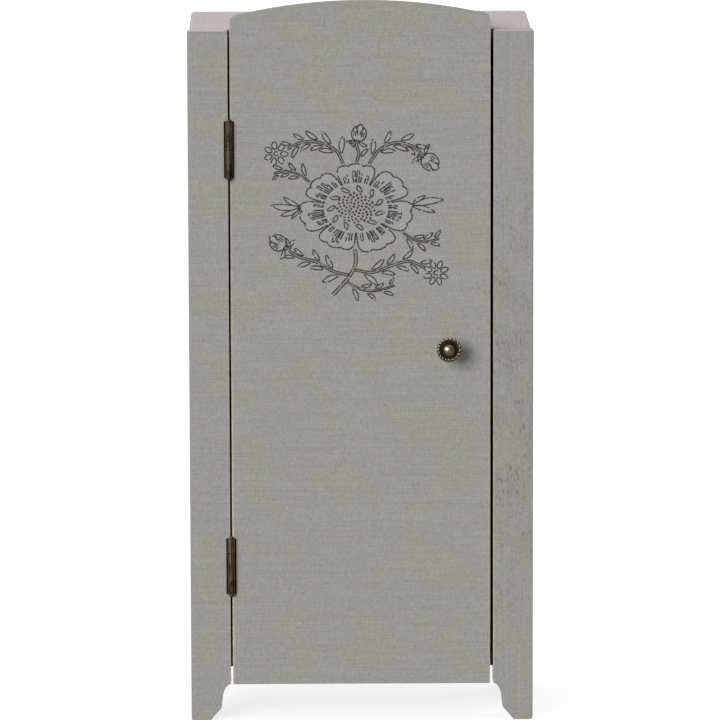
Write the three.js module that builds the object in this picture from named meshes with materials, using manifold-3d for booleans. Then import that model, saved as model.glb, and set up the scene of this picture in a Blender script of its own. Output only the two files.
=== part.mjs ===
// Miniature wardrobe for a dolls' house: a painted box of thin boards on bracket feet, two front
// stiles, and one arched door on a pair of small butt hinges.
// Millimetres. +X right, +Y towards the back, +Z up. The origin is on the floor, in the middle of
// the overall width and depth.
import * as THREE from 'three';
import { mergeVertices } from 'three/addons/utils/BufferGeometryUtils.js';
import Module from 'manifold-3d';

const wasm = await Module();
wasm.setup();

// Overall size
const WIDTH = 94.5; // outer edge of one stile to the outer edge of the other
const CASE_DEPTH = 48; // front of the stiles to the rear of the back panel
const CASE_HEIGHT = 192; // floor to the top of the stiles and panels
const DOOR_PEAK = 200; // floor to the crown of the door
const KNOB_REACH = 7.5; // door front to the tip of the knob

// Boards
const FRONT_THICKNESS = 4.7; // door and stiles
const PANEL_THICKNESS = 3; // sides, top, bottom and back
const STILE_WIDTH = 11;
const SIDE_INSET = 0.5; // side panels sit in from the stiles' outer edges
const GLUE_LINE = 0.05;
const DOOR_STAND_OFF = 0.2; // door's back to the front edges of the top and bottom panels
const BOTTOM_UNDERSIDE = 14.3;
const CORNER_RADIUS = 0.5; // top corners of the stiles
const EDGE_RADIUS = 0.8; // top outer edges of the side panels

// Bracket feet
const FOOT_HEIGHT = 10.4;
const SIDE_FOOT_WIDTH = 15; // along the depth, measured to the outside of the case
const FOOT_CORNER_RADIUS = 1;

// Door
const HINGE_GAP = 0.55;
const LATCH_GAP = 0.8;
const DOOR_BOTTOM = 10.3;
const ARCH_RADIUS = 152;
const ARCH_OFFSET = 1; // the crown stands this far right of the door's middle
const SHOULDER_RADIUS = 2;

// Butt hinges
const HINGE_LENGTH = 15.6;
const HINGE_HEIGHTS = { upper: 159.5, lower: 43.6 };
const KNUCKLES = 4;
const KNUCKLE_GAP = 0.13;
const BARREL_RADIUS = 1.02;
const BARREL_BORE = 0.5;
const AXIS_PROUD = 0.55; // barrel axis in front of the door's face
const BARREL_CLEARANCE = 0.06; // barrel to the leaf of the other side
const NOTCH_HALF_WIDTH = 1.38; // cut in the stile and the door to take the barrel
const NOTCH_DEPTH = 0.95;
const NOTCH_END_CLEARANCE = 0.03;
const LEAF_THICKNESS = 0.2;
const LEAF_SEAT = 0.02; // leaf to the wood behind it
const LEAF_DEPTH = 4.2; // door's face to the hidden edge of the leaf
const PIN_RADIUS = 0.42;
const PIN_HEAD_RADIUS = 0.56;
const PIN_HEAD_HEIGHT = 0.65;

// Hinge nails
const NAIL_SPACING = 9;
const NAIL_DEPTH = 2.2; // behind the door's face
const NAIL_RADIUS = 0.35;
const NAIL_HEAD_RADIUS = 0.7;
const NAIL_LENGTH = 4;
const NAIL_CLEARANCE = 0.04;

// Knob and its screw
const KNOB_X = 24;
const KNOB_Z = 104.8;
const KNOB_RADIUS = 3.4;
const SCREW_RADIUS = 0.6;
const SCREW_HEAD_RADIUS = 1.5;
const SCREW_HEAD_HEIGHT = 0.8;
const SCREW_IN_KNOB = 3;

// Hanging rod, magnetic catch
const ROD_RADIUS = 1.5;
const ROD_HEIGHT = 178;
const ROD_SOCKET = 1.5;
const MAGNET_RADIUS = 2;
const MAGNET_THICKNESS = 1.5;
const CATCH_X = 30;
const CATCH_HEAD_RADIUS = 1.1;
const CATCH_HEAD_HEIGHT = 0.4;
const CATCH_SHANK_RADIUS = 0.5;
const CATCH_SHANK_LENGTH = 6;
const BORE_CLEARANCE = 0.05;

// Places worked out from the above
const FRONT = (KNOB_REACH - CASE_DEPTH) / 2;
const FRONT_BACK = FRONT + FRONT_THICKNESS;
const REAR = FRONT + CASE_DEPTH;
const PANEL_FRONT = FRONT_BACK + DOOR_STAND_OFF;
const STILE_INNER = WIDTH / 2 - STILE_WIDTH;
const SIDE_OUTER = WIDTH / 2 - SIDE_INSET;
const SIDE_INNER = SIDE_OUTER - PANEL_THICKNESS;
const DOOR_LEFT = -STILE_INNER + HINGE_GAP;
const DOOR_RIGHT = STILE_INNER - LATCH_GAP;
const HINGE_X = -STILE_INNER + HINGE_GAP / 2;
const HINGE_Y = FRONT - AXIS_PROUD;
const CATCH_Z = CASE_HEIGHT - PANEL_THICKNESS / 2;

const HALF_TURN = Math.PI;
const QUARTER_TURN = Math.PI / 2;

const PAINT = { color: '#9a9993', roughness: 0.85, metalness: 0 };
const BARE_WOOD = { color: '#b48a5c', roughness: 0.7, metalness: 0 };
const AGED_BRASS = { color: '#6b5638', roughness: 0.45, metalness: 1 };
const STEEL = { color: '#8d8f92', roughness: 0.35, metalness: 1 };

// Solids

function toSolid(geometry) {
  const bare = geometry.clone();
  bare.deleteAttribute('normal');
  bare.deleteAttribute('uv');
  const merged = mergeVertices(bare);
  const corners = Array.from(merged.index.array);
  const triangles = [];
  for (let i = 0; i < corners.length; i += 3) {
    const triangle = corners.slice(i, i + 3);
    if (new Set(triangle).size === 3) triangles.push(...triangle);
  }
  return new wasm.Manifold(new wasm.Mesh({
    numProp: 3,
    vertProperties: Float32Array.from(merged.attributes.position.array),
    triVerts: Uint32Array.from(triangles),
  }));
}

function toGeometry(solid) {
  const { vertProperties, triVerts } = solid.getMesh();
  const geometry = new THREE.BufferGeometry();
  geometry.setAttribute('position', new THREE.BufferAttribute(vertProperties, 3));
  geometry.setIndex(new THREE.BufferAttribute(triVerts, 1));
  geometry.computeVertexNormals();
  return geometry;
}

function cut(geometry, ...tools) {
  const solid = tools.reduce((rest, tool) => rest.subtract(toSolid(tool)), toSolid(geometry));
  return toGeometry(solid);
}

function join(...geometries) {
  return toGeometry(geometries.map(toSolid).reduce((whole, piece) => whole.add(piece)));
}

function box(low, high) {
  const size = high.map((value, i) => value - low[i]);
  const centre = high.map((value, i) => (value + low[i]) / 2);
  return new THREE.BoxGeometry(...size).translate(...centre);
}

// A turned solid about its local Y axis, from [radius, height] points that rise from the axis to
// the axis.
function turned(points, segments) {
  return new THREE.LatheGeometry(points.map(([r, h]) => new THREE.Vector2(r, h)), segments);
}

function cylinderX(radius, x0, x1, y, z, segments = 16) {
  return new THREE.CylinderGeometry(radius, radius, x1 - x0, segments)
    .rotateZ(QUARTER_TURN).translate((x0 + x1) / 2, y, z);
}

function cylinderY(radius, y0, y1, x, z, segments = 24) {
  return new THREE.CylinderGeometry(radius, radius, y1 - y0, segments)
    .translate(x, (y0 + y1) / 2, z);
}

function cylinderZ(radius, z0, z1, segments) {
  return new THREE.CylinderGeometry(radius, radius, z1 - z0, segments)
    .rotateX(QUARTER_TURN).translate(0, 0, (z0 + z1) / 2);
}

// An outline drawn in x and z, made into a board that runs back from y.
function frontBoard(outline, y, thickness, curveSegments) {
  return new THREE.ExtrudeGeometry(outline, { depth: thickness, bevelEnabled: false, curveSegments })
    .rotateX(QUARTER_TURN).translate(0, y + thickness, 0);
}

// An outline drawn in y and z, made into a board that runs right from x.
function sideBoard(outline, x, thickness, curveSegments) {
  return new THREE.ExtrudeGeometry(outline, { depth: thickness, bevelEnabled: false, curveSegments })
    .rotateX(QUARTER_TURN).rotateZ(QUARTER_TURN).translate(x, 0, 0);
}

function mesh(name, geometry, finish) {
  const piece = new THREE.Mesh(geometry, new THREE.MeshStandardMaterial(finish));
  piece.name = name;
  return piece;
}

// Case

// The inner edge of a bracket foot, from the rail level down to the floor: a cove, a short
// near-upright run and a chamfer. across(u) places a distance u in from the foot's inner edge.
function bracketDown(outline, across) {
  outline.lineTo(across(0), FOOT_HEIGHT);
  outline.quadraticCurveTo(across(2.1), FOOT_HEIGHT - 0.5, across(2.4), FOOT_HEIGHT - 4.4);
  outline.lineTo(across(2.7), 3.5);
  outline.lineTo(across(4.3), 1.8);
  outline.quadraticCurveTo(across(5), 1, across(5.7), 0);
}

function bracketUp(outline, across) {
  outline.lineTo(across(5.7), 0);
  outline.quadraticCurveTo(across(5), 1, across(4.3), 1.8);
  outline.lineTo(across(2.7), 3.5);
  outline.lineTo(across(2.4), FOOT_HEIGHT - 4.4);
  outline.quadraticCurveTo(across(2.1), FOOT_HEIGHT - 0.5, across(0), FOOT_HEIGHT);
}

// side is -1 for the left stile and 1 for the right one.
function stile(side) {
  const outer = WIDTH / 2;
  const top = CASE_HEIGHT;
  const outline = new THREE.Shape();
  outline.moveTo(side * STILE_INNER, top - CORNER_RADIUS);
  bracketDown(outline, (u) => side * (STILE_INNER + u));
  outline.lineTo(side * (outer - FOOT_CORNER_RADIUS), 0);
  outline.quadraticCurveTo(side * outer, 0, side * outer, FOOT_CORNER_RADIUS);
  outline.lineTo(side * outer, top - CORNER_RADIUS);
  outline.quadraticCurveTo(side * outer, top, side * (outer - CORNER_RADIUS), top);
  outline.lineTo(side * (STILE_INNER + CORNER_RADIUS), top);
  outline.quadraticCurveTo(side * STILE_INNER, top, side * STILE_INNER, top - CORNER_RADIUS);
  return frontBoard(outline, FRONT, FRONT_THICKNESS, 5);
}

// What is taken off a side panel to round its top outer edge.
function edgeWaste(side) {
  const x = side * (SIDE_OUTER - EDGE_RADIUS);
  const z = CASE_HEIGHT - EDGE_RADIUS;
  const past = x + side * 2 * EDGE_RADIUS;
  const square = box([Math.min(x, past), FRONT, z], [Math.max(x, past), REAR + 1, CASE_HEIGHT + 1]);
  return cut(square, cylinderY(EDGE_RADIUS, FRONT - 1, REAR + 2, x, z, 32));
}

function sidePanel(side) {
  const front = FRONT_BACK + GLUE_LINE;
  const outline = new THREE.Shape();
  outline.moveTo(front, CASE_HEIGHT);
  outline.lineTo(front, 0);
  bracketUp(outline, (u) => FRONT + SIDE_FOOT_WIDTH - u);
  bracketDown(outline, (u) => REAR - SIDE_FOOT_WIDTH + u);
  outline.lineTo(REAR, 0);
  outline.lineTo(REAR, CASE_HEIGHT);
  const x = side < 0 ? -SIDE_OUTER : SIDE_INNER;
  const socketLow = side < 0 ? -SIDE_INNER - ROD_SOCKET : SIDE_INNER - 1;
  const rodSocket = cylinderX(ROD_RADIUS + BORE_CLEARANCE, socketLow, socketLow + ROD_SOCKET + 1,
    rodY(), ROD_HEIGHT, 24);
  return cut(sideBoard(outline, x, PANEL_THICKNESS, 5), rodSocket, edgeWaste(side));
}

function rodY() {
  return (PANEL_FRONT + REAR - PANEL_THICKNESS) / 2;
}

function levelPanel(underside) {
  const halfWidth = SIDE_INNER - GLUE_LINE;
  const rear = REAR - PANEL_THICKNESS - GLUE_LINE;
  return box([-halfWidth, PANEL_FRONT, underside], [halfWidth, rear, underside + PANEL_THICKNESS]);
}

function topPanel() {
  const headSeat = PANEL_FRONT + CATCH_HEAD_HEIGHT;
  const recess = cylinderY(CATCH_HEAD_RADIUS + BORE_CLEARANCE, PANEL_FRONT - 1, headSeat, CATCH_X, CATCH_Z);
  const hole = cylinderY(CATCH_SHANK_RADIUS + BORE_CLEARANCE, headSeat - 1,
    headSeat + CATCH_SHANK_LENGTH + BORE_CLEARANCE, CATCH_X, CATCH_Z, 16);
  return cut(levelPanel(CASE_HEIGHT - PANEL_THICKNESS), recess, hole);
}

function backPanel() {
  const halfWidth = SIDE_INNER - GLUE_LINE;
  return box([-halfWidth, REAR - PANEL_THICKNESS, FOOT_HEIGHT], [halfWidth, REAR, CASE_HEIGHT]);
}

function hangingRod() {
  const reach = SIDE_INNER + ROD_SOCKET - BORE_CLEARANCE;
  return cylinderX(ROD_RADIUS, -reach, reach, rodY(), ROD_HEIGHT, 24);
}

// Door

// The centre of a shoulder's arc, which meets both the arch and the door's upright edge.
// side is -1 for the hinge edge and 1 for the latch edge.
function shoulderCentre(side, archX, archZ) {
  const x = (side < 0 ? DOOR_LEFT : DOOR_RIGHT) - side * SHOULDER_RADIUS;
  return [x, archZ + Math.sqrt((ARCH_RADIUS - SHOULDER_RADIUS) ** 2 - (x - archX) ** 2)];
}

function doorOutline() {
  const archX = (DOOR_LEFT + DOOR_RIGHT) / 2 + ARCH_OFFSET;
  const archZ = DOOR_PEAK - ARCH_RADIUS;
  const [rightX, rightZ] = shoulderCentre(1, archX, archZ);
  const [leftX, leftZ] = shoulderCentre(-1, archX, archZ);
  const rightTurn = Math.atan2(rightZ - archZ, rightX - archX);
  const leftTurn = Math.atan2(leftZ - archZ, leftX - archX);
  const outline = new THREE.Shape();
  outline.moveTo(DOOR_LEFT, DOOR_BOTTOM);
  outline.lineTo(DOOR_RIGHT, DOOR_BOTTOM);
  outline.absarc(rightX, rightZ, SHOULDER_RADIUS, 0, rightTurn);
  outline.absarc(archX, archZ, ARCH_RADIUS, rightTurn, leftTurn);
  outline.absarc(leftX, leftZ, SHOULDER_RADIUS, leftTurn, HALF_TURN);
  return outline;
}

function nailHeights() {
  const centres = Object.values(HINGE_HEIGHTS);
  return centres.flatMap((z) => [z - NAIL_SPACING / 2, z + NAIL_SPACING / 2]);
}

// Holes for the shanks of the hinge nails, from x0 to x1.
function nailHoles(x0, x1) {
  const radius = NAIL_RADIUS + NAIL_CLEARANCE;
  return nailHeights().map((z) => cylinderX(radius, x0, x1, FRONT + NAIL_DEPTH, z, 12));
}

// The notches that take the hinge barrels, across the stile, the gap and the door.
function barrelNotches() {
  const half = HINGE_LENGTH / 2 + NOTCH_END_CLEARANCE;
  return Object.values(HINGE_HEIGHTS).map((z) => box(
    [HINGE_X - NOTCH_HALF_WIDTH, FRONT - 1, z - half],
    [HINGE_X + NOTCH_HALF_WIDTH, FRONT + NOTCH_DEPTH, z + half],
  ));
}

function leftStile() {
  const holes = nailHoles(-STILE_INNER - NAIL_LENGTH - 0.1, -STILE_INNER + 1);
  return cut(stile(-1), ...barrelNotches(), ...holes);
}

function door() {
  const board = frontBoard(doorOutline(), FRONT, FRONT_THICKNESS, 12);
  const screwHole = cylinderY(SCREW_RADIUS + BORE_CLEARANCE, FRONT - 1, FRONT_BACK + 1, KNOB_X, KNOB_Z, 16);
  const magnetPocket = cylinderY(MAGNET_RADIUS + BORE_CLEARANCE,
    FRONT_BACK - MAGNET_THICKNESS - BORE_CLEARANCE, FRONT_BACK + 1, CATCH_X, CATCH_Z);
  const holes = nailHoles(DOOR_LEFT - 1, DOOR_LEFT + NAIL_LENGTH + 0.1);
  return cut(board, screwHole, magnetPocket, ...barrelNotches(), ...holes);
}

function magnet() {
  return cylinderY(MAGNET_RADIUS, FRONT_BACK - MAGNET_THICKNESS, FRONT_BACK, CATCH_X, CATCH_Z);
}

// A flat-headed steel pin. Its local Y axis points out of the wood, with the head's underside at 0.
function catchPin() {
  return turned([
    [0, -CATCH_SHANK_LENGTH],
    [CATCH_SHANK_RADIUS, -CATCH_SHANK_LENGTH + 0.8],
    [CATCH_SHANK_RADIUS, 0.01],
    [CATCH_HEAD_RADIUS, 0.01],
    [CATCH_HEAD_RADIUS, CATCH_HEAD_HEIGHT - 0.12],
    [CATCH_HEAD_RADIUS - 0.2, CATCH_HEAD_HEIGHT],
    [0, CATCH_HEAD_HEIGHT],
  ], 20);
}

// The knob stands on its base at 0 and rises along its local Y axis: a foot, a neck, a dished
// head with a thick rim, and a small dome in the middle of the dish.
function knob() {
  const rim = KNOB_RADIUS - 0.45;
  return turned([
    [0, SCREW_IN_KNOB + 0.2],
    [SCREW_RADIUS + BORE_CLEARANCE, SCREW_IN_KNOB + 0.2],
    [SCREW_RADIUS + BORE_CLEARANCE, 0.02],
    [2, 0.02],
    [2.1, 0.4],
    [1.45, 0.9],
    [1.25, 1.9],
    [1.5, 3],
    [2.4, 4.2],
    [3.05, 4.9],
    [rim + 0.32, 5.25],
    [rim + 0.45, 5.6],
    [rim + 0.32, 5.95],
    [rim, 6.1],
    [rim - 0.32, 5.95],
    [rim - 0.45, 5.7],
    [2.1, 5.75],
    [1.75, 5.5],
    [1.65, 6],
    [1.4, 6.8],
    [0.8, 7.35],
    [0, KNOB_REACH],
  ], 32);
}

// The screw's head is on the door's back; its local Y axis points towards the knob.
function knobScrew() {
  const reach = FRONT_THICKNESS + SCREW_IN_KNOB;
  const body = turned([
    [0, -SCREW_HEAD_HEIGHT],
    [SCREW_HEAD_RADIUS - 0.4, -SCREW_HEAD_HEIGHT],
    [SCREW_HEAD_RADIUS, -SCREW_HEAD_HEIGHT + 0.35],
    [SCREW_HEAD_RADIUS, -0.02],
    [SCREW_RADIUS, -0.02],
    [SCREW_RADIUS, reach - 0.4],
    [0.3, reach],
    [0, reach],
  ], 24);
  const slot = box([-2, -SCREW_HEAD_HEIGHT - 1, -0.15], [2, -SCREW_HEAD_HEIGHT + 0.35, 0.15]);
  return cut(body, slot);
}

// Hinges. Each hinge is drawn about its own pin: local Z along the pin, local +Y into the gap
// between the stile and the door.

function knuckleSpan(index) {
  const length = (HINGE_LENGTH - (KNUCKLES - 1) * KNUCKLE_GAP) / KNUCKLES;
  const low = -HINGE_LENGTH / 2 + index * (length + KNUCKLE_GAP);
  return [low, low + length];
}

// side is -1 for the leaf on the stile and 1 for the leaf on the door.
function leaf(side) {
  const outerX = side * (HINGE_GAP / 2 - LEAF_SEAT);
  const innerX = outerX - side * LEAF_THICKNESS;
  const [x0, x1] = [Math.min(innerX, outerX), Math.max(innerX, outerX)];
  const plate = box([x0, BARREL_RADIUS + BARREL_CLEARANCE, -HINGE_LENGTH / 2],
    [x1, AXIS_PROUD + LEAF_DEPTH, HINGE_LENGTH / 2]);
  const pieces = [plate];
  for (let k = side < 0 ? 0 : 1; k < KNUCKLES; k += 2) {
    const [low, high] = knuckleSpan(k);
    pieces.push(cylinderZ(BARREL_RADIUS, low, high, 32));
    pieces.push(box([x0, BARREL_RADIUS - 0.3, low], [x1, BARREL_RADIUS + 0.3, high]));
  }
  const bore = cylinderZ(BARREL_BORE, -HINGE_LENGTH, HINGE_LENGTH, 20);
  const sinks = [-1, 1].map((end) => nail(NAIL_CLEARANCE).rotateZ(side * QUARTER_TURN)
    .translate(outerX, AXIS_PROUD + NAIL_DEPTH, end * NAIL_SPACING / 2));
  return cut(join(...pieces), bore, ...sinks);
}

// A countersunk nail with its local Y axis pointing out of the wood; the head's underside is at 0.
// grow makes the same shape fatter, as a tool for the hole it sits in.
function nail(grow = 0) {
  return turned([
    [0, -NAIL_LENGTH],
    [NAIL_RADIUS + grow, -NAIL_LENGTH + 0.7],
    [NAIL_RADIUS + grow, 0],
    [NAIL_HEAD_RADIUS + grow, LEAF_THICKNESS + grow],
    [0, LEAF_THICKNESS + grow],
  ], 12);
}

function hingePin() {
  const inner = HINGE_LENGTH / 2 + 0.1;
  const outer = inner + PIN_HEAD_HEIGHT;
  const top = [
    [PIN_RADIUS, inner],
    [PIN_HEAD_RADIUS, inner],
    [PIN_HEAD_RADIUS, outer - 0.35],
    [PIN_HEAD_RADIUS - 0.14, outer - 0.1],
    [0, outer],
  ];
  const bottom = top.map(([r, h]) => [r, -h]).reverse();
  return turned([...bottom, ...top], 16);
}

function hinge(prefix, height) {
  const group = new THREE.Group();
  group.position.set(HINGE_X, HINGE_Y, height);
  group.add(mesh(`${prefix}_hinge_frame_leaf`, leaf(-1), AGED_BRASS));
  group.add(mesh(`${prefix}_hinge_door_leaf`, leaf(1), AGED_BRASS));
  const pin = mesh(`${prefix}_hinge_pin`, hingePin(), AGED_BRASS);
  pin.rotation.x = QUARTER_TURN;
  group.add(pin);
  for (const [owner, side] of [['frame', -1], ['door', 1]]) {
    for (const [place, end] of [['low', -1], ['high', 1]]) {
      const piece = mesh(`${prefix}_hinge_${owner}_nail_${place}`, nail(), AGED_BRASS);
      piece.rotation.z = side * QUARTER_TURN;
      piece.position.set(side * (HINGE_GAP / 2 - LEAF_SEAT), AXIS_PROUD + NAIL_DEPTH,
        end * NAIL_SPACING / 2);
      group.add(piece);
    }
  }
  return group;
}

// Assembly

const wardrobe = new THREE.Group();
wardrobe.add(
  mesh('left_front_stile', leftStile(), PAINT),
  mesh('right_front_stile', stile(1), PAINT),
  mesh('left_side_panel', sidePanel(-1), PAINT),
  mesh('right_side_panel', sidePanel(1), PAINT),
  mesh('top_panel', topPanel(), PAINT),
  mesh('bottom_panel', levelPanel(BOTTOM_UNDERSIDE), PAINT),
  mesh('back_panel', backPanel(), PAINT),
  mesh('hanging_rod', hangingRod(), BARE_WOOD),
  mesh('door', door(), PAINT),
  mesh('door_magnet', magnet(), STEEL),
);

const doorKnob = mesh('door_knob', knob(), AGED_BRASS);
doorKnob.rotation.x = HALF_TURN;
doorKnob.position.set(KNOB_X, FRONT, KNOB_Z);

const screw = mesh('knob_screw', knobScrew(), STEEL);
screw.rotation.x = HALF_TURN;
screw.position.set(KNOB_X, FRONT_BACK, KNOB_Z);

const catchPiece = mesh('catch_pin', catchPin(), STEEL);
catchPiece.rotation.x = HALF_TURN;
catchPiece.position.set(CATCH_X, PANEL_FRONT + CATCH_HEAD_HEIGHT, CATCH_Z);

wardrobe.add(doorKnob, screw, catchPiece);
for (const [prefix, height] of Object.entries(HINGE_HEIGHTS)) wardrobe.add(hinge(prefix, height));

export default wardrobe;
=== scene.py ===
# A dolls' house wardrobe: painted boards with a linen weave, antique brass hinges and knob, and a
# line-drawn flower spray printed on the door. Metres, in the CAD part's frame.
import math
import random

import bpy
from mathutils import Matrix, Vector


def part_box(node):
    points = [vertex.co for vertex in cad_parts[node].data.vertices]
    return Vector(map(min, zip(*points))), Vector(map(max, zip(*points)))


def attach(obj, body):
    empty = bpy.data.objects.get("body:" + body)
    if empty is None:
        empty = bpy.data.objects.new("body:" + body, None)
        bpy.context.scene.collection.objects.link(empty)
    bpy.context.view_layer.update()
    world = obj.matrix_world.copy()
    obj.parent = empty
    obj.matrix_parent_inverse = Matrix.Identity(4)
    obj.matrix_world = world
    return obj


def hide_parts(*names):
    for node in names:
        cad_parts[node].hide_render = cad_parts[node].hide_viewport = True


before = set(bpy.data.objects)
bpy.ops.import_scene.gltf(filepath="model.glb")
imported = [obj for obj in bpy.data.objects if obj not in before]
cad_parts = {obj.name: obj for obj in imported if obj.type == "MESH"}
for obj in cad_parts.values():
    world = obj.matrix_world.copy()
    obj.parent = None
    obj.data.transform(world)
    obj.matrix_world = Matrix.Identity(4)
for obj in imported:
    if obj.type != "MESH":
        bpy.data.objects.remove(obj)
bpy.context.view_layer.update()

MM = 0.001

door_low, door_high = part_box("door")
CASE_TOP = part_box("left_front_stile")[1].z / MM
FRONT = door_low.y  # the plane of the door's and the stiles' front faces
pin_centres = [sum(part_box(f"{end}_hinge_pin"), Vector()) / 2 for end in ("upper", "lower")]
hinge_middle = (pin_centres[0] + pin_centres[1]) / 2
hinge_spread = (pin_centres[0].z - pin_centres[1].z) / 2 / MM


# ---------------------------------------------------------------- node helper


class Graph:
    """One material's nodes. Values are sockets or plain numbers; vectors are in millimetres."""

    def __init__(self, name):
        self.material = bpy.data.materials.new(name)
        self.material.use_nodes = True
        self.tree = self.material.node_tree
        self.surface = self.tree.nodes["Principled BSDF"]

    def node(self, kind, **settings):
        made = self.tree.nodes.new(kind)
        for key, value in settings.items():
            setattr(made, key, value)
        return made

    def feed(self, socket, value):
        if isinstance(value, bpy.types.NodeSocket):
            self.tree.links.new(value, socket)
        else:
            socket.default_value = value

    def math(self, operation, a, b=0.0):
        made = self.node("ShaderNodeMath", operation=operation)
        self.feed(made.inputs[0], a)
        self.feed(made.inputs[1], b)
        return made.outputs[0]

    def plus(self, a, b):
        return self.math("ADD", a, b)

    def minus(self, a, b):
        return self.math("SUBTRACT", a, b)

    def times(self, first, *others):
        for other in others:
            first = self.math("MULTIPLY", first, other)
        return first

    def distance(self, x, z, centre_x, centre_z):
        """(x offset, z offset, distance) from a centre."""
        dx, dz = self.minus(x, centre_x), self.minus(z, centre_z)
        return dx, dz, self.math("SQRT", self.plus(self.times(dx, dx), self.times(dz, dz)))

    def span(self, value, low, high, to_low=0.0, to_high=1.0):
        """value moved smoothly from low..high to to_low..to_high, held at the ends."""
        made = self.node("ShaderNodeMapRange", interpolation_type="SMOOTHSTEP")
        self.feed(made.inputs["Value"], value)
        limits = {"From Min": low, "From Max": high, "To Min": to_low, "To Max": to_high}
        for key, number in limits.items():
            made.inputs[key].default_value = number
        return made.outputs["Result"]

    def mix(self, factor, a, b, blend="MIX"):
        made = self.node("ShaderNodeMix", data_type="RGBA", blend_type=blend)
        self.feed(made.inputs[0], factor)
        for socket, value in zip((made.inputs[6], made.inputs[7]), (a, b)):
            self.feed(socket, (*value, 1.0) if isinstance(value, tuple) else value)
        return made.outputs[2]

    def vector(self, x, y, z):
        made = self.node("ShaderNodeCombineXYZ")
        for socket, value in zip(made.inputs, (x, y, z)):
            self.feed(socket, value)
        return made.outputs[0]

    def split(self, vector):
        made = self.node("ShaderNodeSeparateXYZ")
        self.feed(made.inputs[0], vector)
        return made.outputs[0], made.outputs[1], made.outputs[2]

    def noise(self, vector, scale=1.0, detail=2.0, roughness=0.5, distortion=0.0):
        made = self.node("ShaderNodeTexNoise")
        self.feed(made.inputs["Vector"], vector)
        made.inputs["Scale"].default_value = scale
        made.inputs["Detail"].default_value = detail
        made.inputs["Roughness"].default_value = roughness
        made.inputs["Distortion"].default_value = distortion
        return made.outputs["Fac"]

    def grain(self, parts, rates, detail=2.0, roughness=0.5, distortion=0.0):
        """Noise over two or three coordinates, each at its own rate. A third part that is a plain
        number picks another pattern."""
        scaled = [self.times(part, rate) for part, rate in zip(parts, rates)]
        scaled += parts[len(rates):]
        return self.noise(self.vector(*scaled), 1.0, detail, roughness, distortion)

    def place(self):
        """Object position in millimetres."""
        coordinates = self.node("ShaderNodeTexCoord").outputs["Object"]
        made = self.node("ShaderNodeVectorMath", operation="SCALE")
        self.feed(made.inputs[0], coordinates)
        made.inputs["Scale"].default_value = 1 / MM
        return made.outputs[0]

    def facing(self):
        """How far the surface faces along each axis, 0 to 1, in the object's own frame."""
        normal = self.split(self.node("ShaderNodeTexCoord").outputs["Normal"])
        return tuple(self.math("ABSOLUTE", part) for part in normal)

    def bump(self, height, distance, strength):
        made = self.node("ShaderNodeBump")
        self.feed(made.inputs["Height"], height)
        made.inputs["Distance"].default_value = distance
        made.inputs["Strength"].default_value = strength
        return made.outputs[0]

    def finish(self, colour, roughness, metallic=0.0, normal=None):
        self.feed(self.surface.inputs["Base Color"], colour)
        self.feed(self.surface.inputs["Roughness"], roughness)
        self.feed(self.surface.inputs["Metallic"], metallic)
        if normal is not None:
            self.feed(self.surface.inputs["Normal"], normal)
        return self.material


def linear(*srgb):
    """An sRGB colour of 0 to 255 as linear values."""
    return tuple(((c / 255 + 0.055) / 1.055) ** 2.4 if c > 10 else c / 255 / 12.92 for c in srgb)


# ---------------------------------------------------------------- painted linen

GREY_THREAD = linear(141, 141, 144)
OLIVE_GROUND = linear(138, 136, 118)
CREAM = linear(188, 177, 133)
# primer and painted top light: the paler colour of upward faces near the top is partly a primer tone and
# partly painted light from above
PRIMER_AND_TOP_LIGHT = linear(186, 177, 175)
BROWN_EDGE = linear(132, 106, 82)
# painted shade: the near-black colour laid in the notches round the hinge barrels, where the recess lies
# in shade
NOTCH_PAINTED_SHADE = linear(34, 26, 20)
SOIL = linear(96, 90, 80)
FLECK = linear(74, 70, 64)
SQUARE_ON = 0.71  # how far a face must look along an axis for the weave to lie over it


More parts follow.
